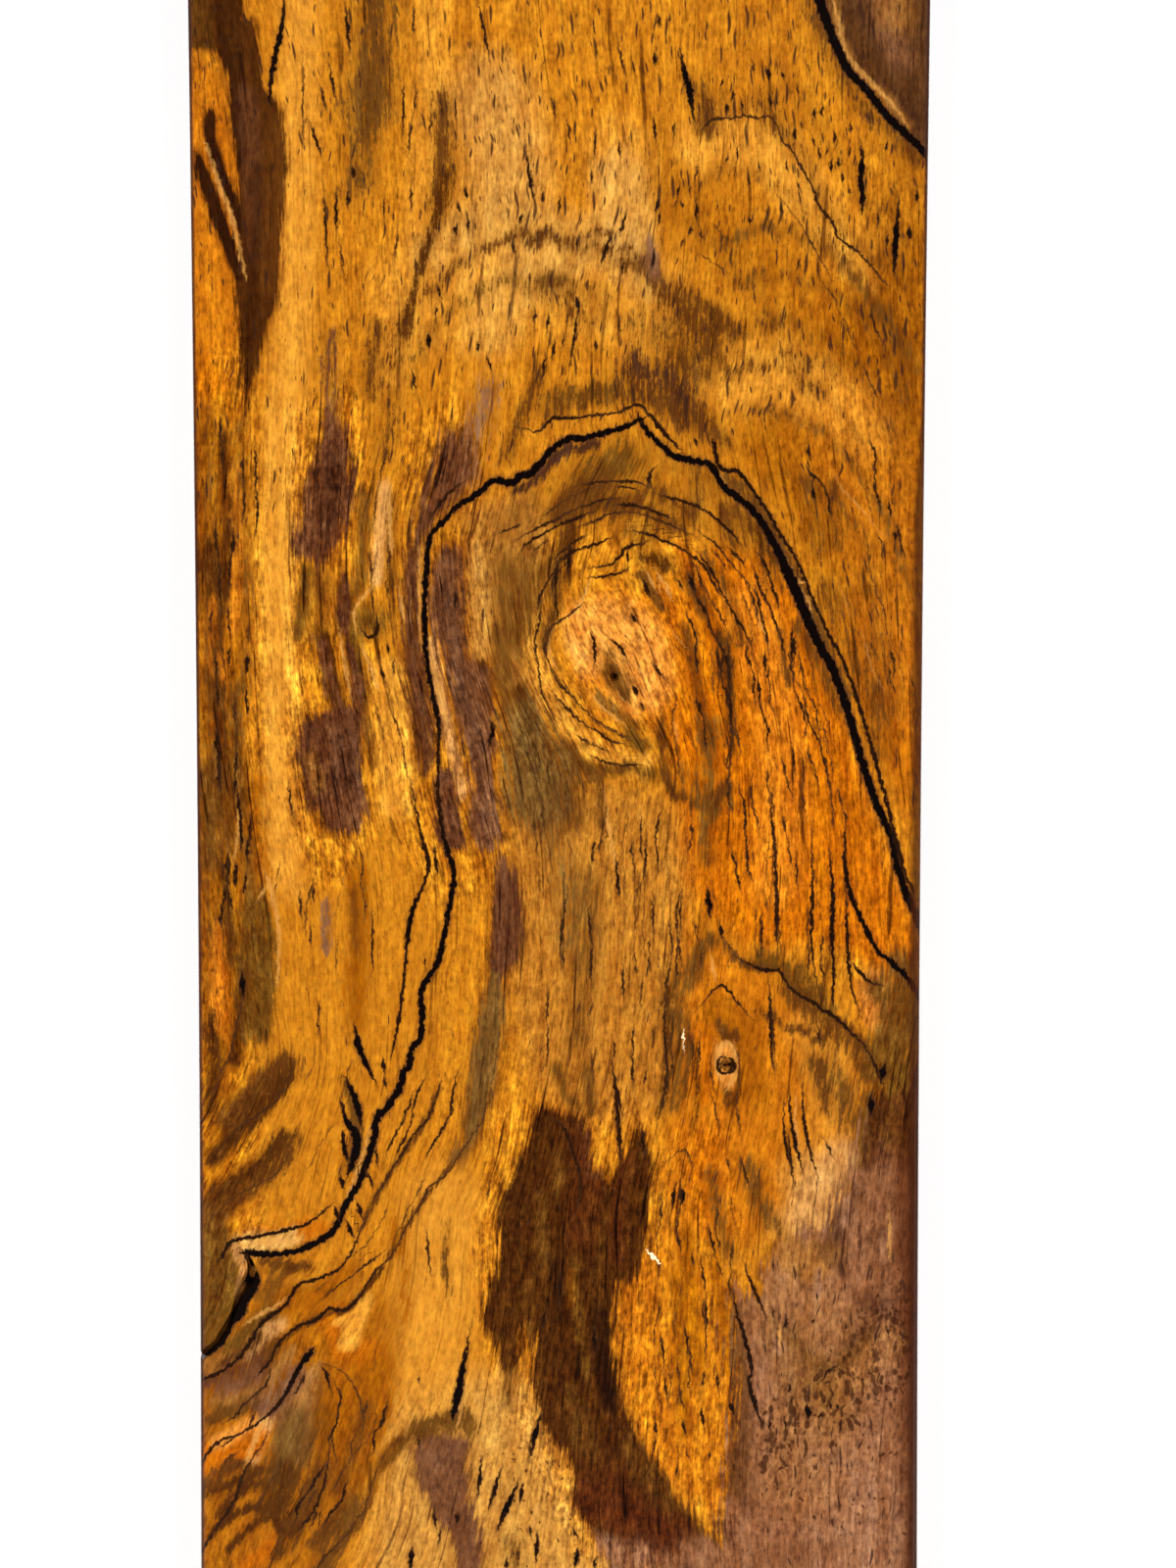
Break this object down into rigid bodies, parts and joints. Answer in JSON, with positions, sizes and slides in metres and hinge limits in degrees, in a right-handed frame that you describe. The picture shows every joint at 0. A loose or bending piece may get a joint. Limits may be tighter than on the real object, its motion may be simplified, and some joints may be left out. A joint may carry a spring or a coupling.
{
  "type": "cocobolo board",
  "caption": "Flat board of figured cocobolo with eased edges, a natural shake at one long edge and small knots, resting on its back face.",
  "frame": {"origin": "centre of the flat back face that the board lies on", "axes": "+X across the grain, +Y along the board, +Z out of the figured face"},
  "size_m": [0.1162, 0.305, 0.025],
  "materials": {
    "cocobolo": "oiled satin, figured orange and gold heartwood with black growth lines"
  },
  "bodies": {
    "root": {"board": "cocobolo"}
  },
  "joints": []
}
